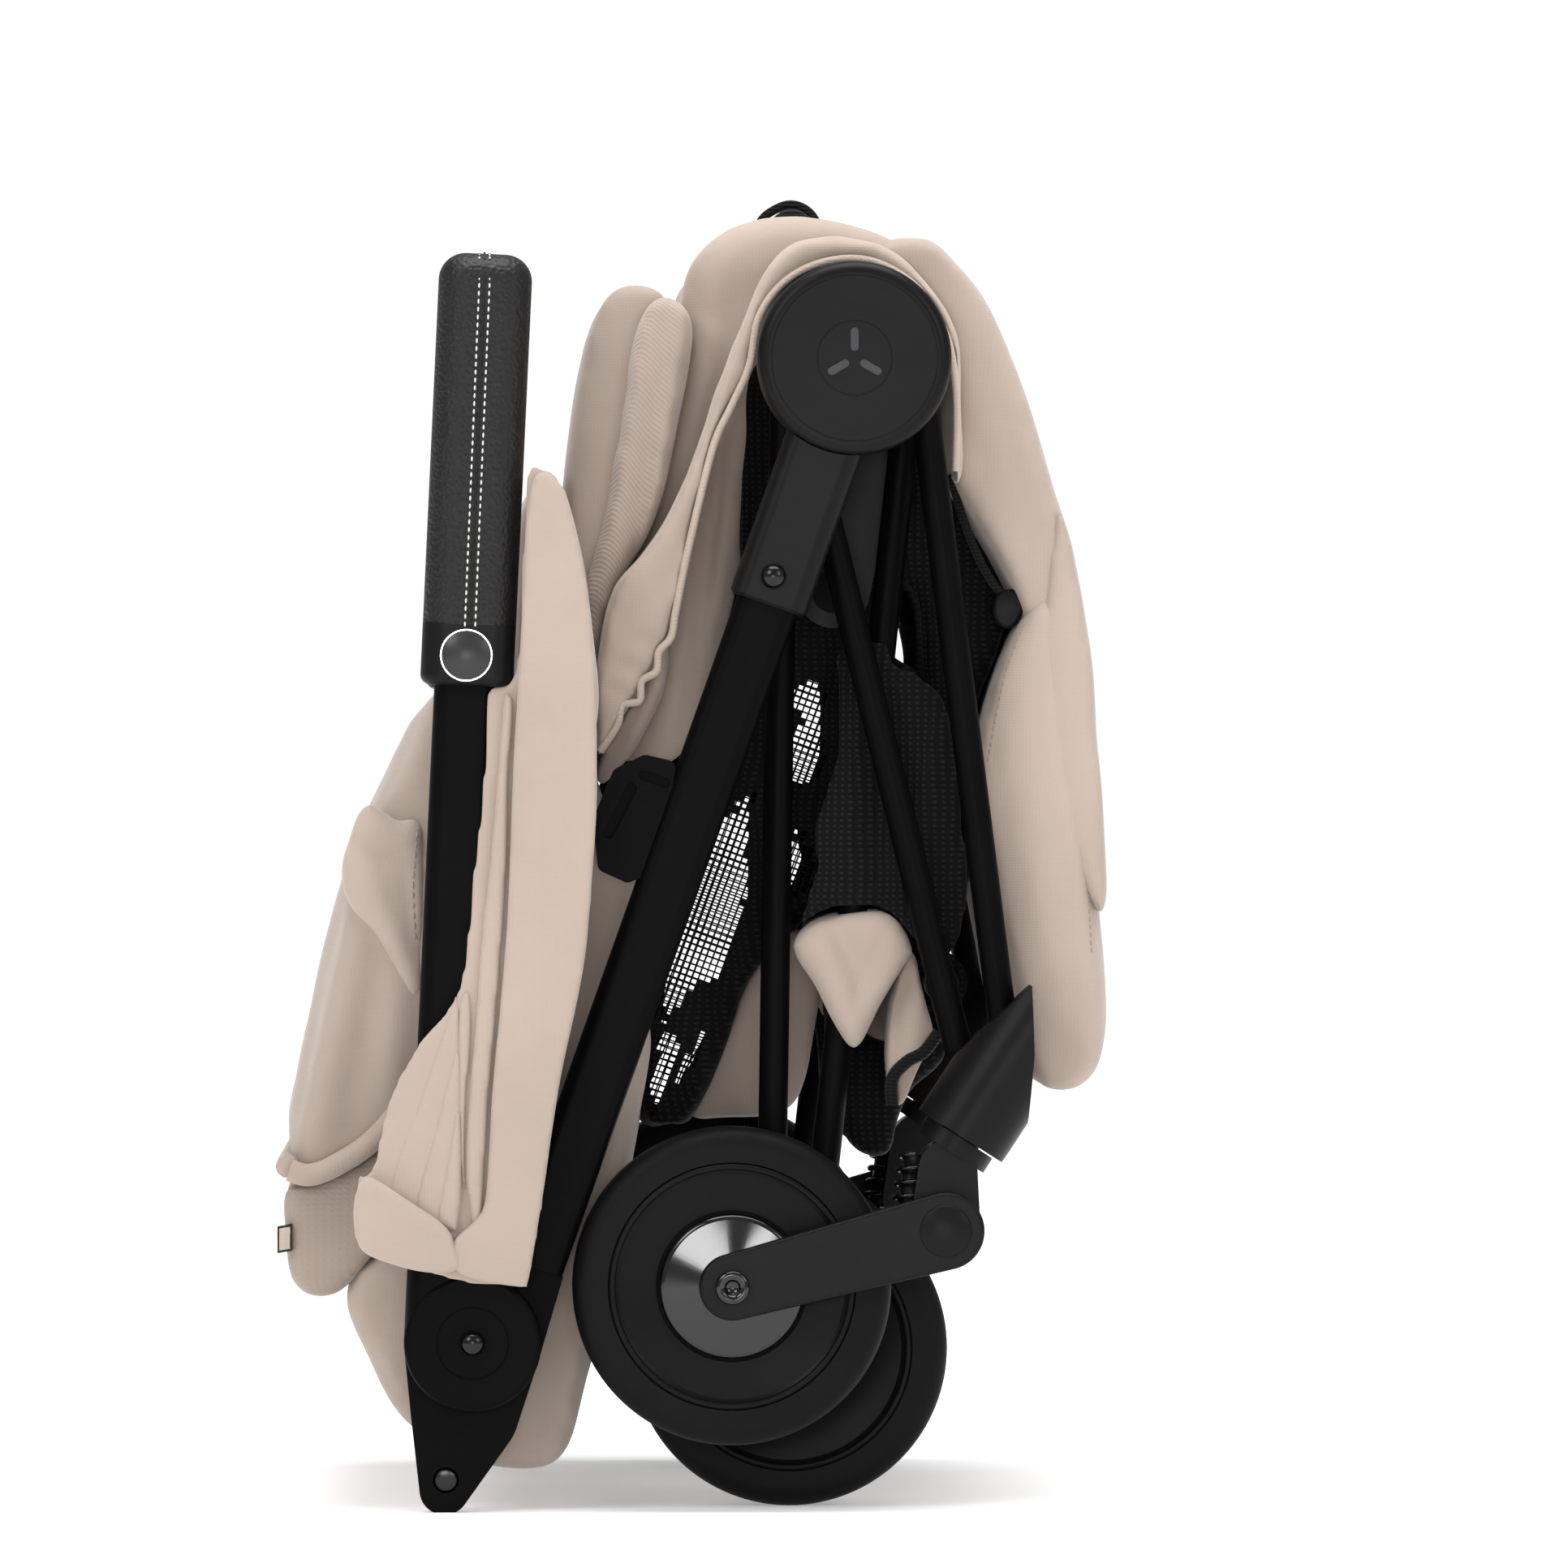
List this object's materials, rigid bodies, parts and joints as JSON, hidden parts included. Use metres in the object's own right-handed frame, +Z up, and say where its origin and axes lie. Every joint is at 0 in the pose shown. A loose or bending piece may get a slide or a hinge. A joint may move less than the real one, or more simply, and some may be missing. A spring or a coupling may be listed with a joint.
{
  "type": "baby stroller",
  "caption": "Compact folding baby stroller, folded and standing by itself, with hinged push bar and handle, swivel casters, canopy, seat and basket.",
  "frame": {"origin": "on the floor, in the middle of the folded stroller's bounding box", "axes": "+X towards the front, +Y towards the stroller's left side, +Z up"},
  "size_m": [0.34, 0.4532, 0.5316],
  "materials": {
    "black_tube": "matte",
    "black_plastic": "matte",
    "rim_plastic": "satin",
    "gloss_black": "gloss",
    "black_steel": "satin",
    "chrome": "polished",
    "black_leather": "satin",
    "beige_fabric": "matte",
    "ribbed_fabric": "matte",
    "shade_fabric": "matte",
    "black_mesh": "matte",
    "tyre": "matte"
  },
  "bodies": {
    "chassis": {"seat_cross_bar": "black_tube", "hub_plate_right": "black_plastic", "hub_plate_left": "black_plastic", "hub_fabric": "beige_fabric"},
    "push_bar": {"hub_cap_right": "black_plastic", "hub_cap_left": "black_plastic", "hub_sleeve_right": "black_plastic", "hub_sleeve_left": "black_plastic", "push_tube_right": "black_tube", "push_tube_left": "black_tube", "elbow_bracket_right": "black_plastic", "elbow_bracket_left": "black_plastic", "frame_rivets": "black_steel", "hub_emblems": "gloss_black", "canopy_clips": "black_plastic", "canopy_shell": "beige_fabric", "canopy_folds": "beige_fabric", "canopy_side_right": "beige_fabric", "canopy_side_left": "beige_fabric", "rear_panel": "shade_fabric", "backrest_pad": "ribbed_fabric"},
    "handle": {"handle_tube_right": "black_tube", "handle_tube_left": "black_tube", "grip_collar_right": "black_plastic", "grip_collar_left": "black_plastic", "collar_badges": "chrome", "grip_side_right": "black_leather", "grip_side_left": "black_leather", "grip_top": "black_leather"},
    "release_button": {"release_button": "gloss_black"},
    "front_legs": {"front_leg_socket_right": "black_plastic", "front_leg_socket_left": "black_plastic", "front_leg_tubes_right": "black_tube", "front_leg_tubes_left": "black_tube", "swivel_housing_right": "black_plastic", "swivel_housing_left": "black_plastic", "front_cross_tube": "black_tube"},
    "rear_legs": {"rear_leg_socket_right": "black_plastic", "rear_leg_socket_left": "black_plastic", "rear_leg_tubes_right": "black_tube", "rear_leg_tubes_left": "black_tube", "axle_bracket_right": "black_plastic", "axle_bracket_left": "black_plastic", "rear_axle": "black_steel", "basket": "black_mesh"},
    "brake_pedal": {"brake_pedal": "black_plastic"},
    "seat": {"seat_pad": "beige_fabric"},
    "caster_right": {"caster_fork_right": "black_plastic"},
    "suspension_right": {"suspension_arm_right": "black_plastic"},
    "front_wheel_right": {"front_tyre_right": "tyre", "front_rim_right": "rim_plastic"},
    "rear_wheel_right": {"rear_tyre_right": "tyre", "rear_rim_right": "rim_plastic"},
    "caster_left": {"caster_fork_left": "black_plastic"},
    "suspension_left": {"suspension_arm_left": "black_plastic"},
    "front_wheel_left": {"front_tyre_left": "tyre", "front_rim_left": "rim_plastic"},
    "rear_wheel_left": {"rear_tyre_left": "tyre", "rear_rim_left": "rim_plastic"}
  },
  "joints": [
    {"name": "push_bar_fold", "type": "hinge", "parent": "chassis", "child": "push_bar", "pos_m": [0.0653, 0, 0.4703], "axis": [0, 1, 0], "range_deg": [0, 118]},
    {"name": "front_leg_fold", "type": "hinge", "parent": "chassis", "child": "front_legs", "pos_m": [0.0653, 0, 0.4703], "axis": [0, 1, 0], "range_deg": [-33.1, 0]},
    {"name": "rear_leg_fold", "type": "hinge", "parent": "chassis", "child": "rear_legs", "pos_m": [0.0653, 0, 0.4703], "axis": [0, 1, 0], "range_deg": [0, 28.6]},
    {"name": "seat_fold", "type": "hinge", "parent": "chassis", "child": "seat", "pos_m": [0.0653, 0, 0.4703], "axis": [0, 1, 0], "range_deg": [-68.1, 0]},
    {"name": "handle_fold", "type": "hinge", "parent": "push_bar", "child": "handle", "pos_m": [-0.0901, 0, 0.0696], "axis": [0, 1, 0], "range_deg": [-161, 0]},
    {"name": "release_press", "type": "slide", "parent": "handle", "child": "release_button", "axis": [0, 0, -1], "range_m": [0, 0.003], "stiffness_N_per_m": 800},
    {"name": "brake_press", "type": "hinge", "parent": "rear_legs", "child": "brake_pedal", "pos_m": [0.04, 0, 0.065], "axis": [0, 1, 0], "range_deg": [-22, 0]},
    {"name": "swivel_right", "type": "hinge", "parent": "front_legs", "child": "caster_right", "pos_m": [0.1089, -0.198, 0.1531], "axis": [0.5452, 0, 0.8383], "range_deg": [0, 180]},
    {"name": "suspension_right", "type": "hinge", "parent": "caster_right", "child": "suspension_right", "pos_m": [0.1023, -0.219, 0.1152], "axis": [0, 1, 0], "range_deg": [-5, 0], "stiffness_Nm_per_rad": 150},
    {"name": "front_wheel_spin_right", "type": "hinge", "parent": "suspension_right", "child": "front_wheel_right", "pos_m": [0.0155, -0.198, 0.0924], "axis": [0, 1, 0], "continuous": true},
    {"name": "rear_wheel_spin_right", "type": "hinge", "parent": "rear_legs", "child": "rear_wheel_right", "pos_m": [0.04, -0.145, 0.065], "axis": [0, 1, 0], "continuous": true},
    {"name": "swivel_left", "type": "hinge", "parent": "front_legs", "child": "caster_left", "pos_m": [0.1089, 0.198, 0.1531], "axis": [0.5452, 0, 0.8383], "range_deg": [-180, 0]},
    {"name": "suspension_left", "type": "hinge", "parent": "caster_left", "child": "suspension_left", "pos_m": [0.1023, 0.219, 0.1152], "axis": [0, 1, 0], "range_deg": [-5, 0], "stiffness_Nm_per_rad": 150},
    {"name": "front_wheel_spin_left", "type": "hinge", "parent": "suspension_left", "child": "front_wheel_left", "pos_m": [0.0155, 0.198, 0.0924], "axis": [0, 1, 0], "continuous": true},
    {"name": "rear_wheel_spin_left", "type": "hinge", "parent": "rear_legs", "child": "rear_wheel_left", "pos_m": [0.04, 0.145, 0.065], "axis": [0, 1, 0], "continuous": true}
  ],
  "couplings": [
    {"joint": "front_leg_fold", "follows": "push_bar_fold", "ratio": -0.27966},
    {"joint": "rear_leg_fold", "follows": "push_bar_fold", "ratio": 0.24152},
    {"joint": "seat_fold", "follows": "push_bar_fold", "ratio": -0.57627}
  ]
}
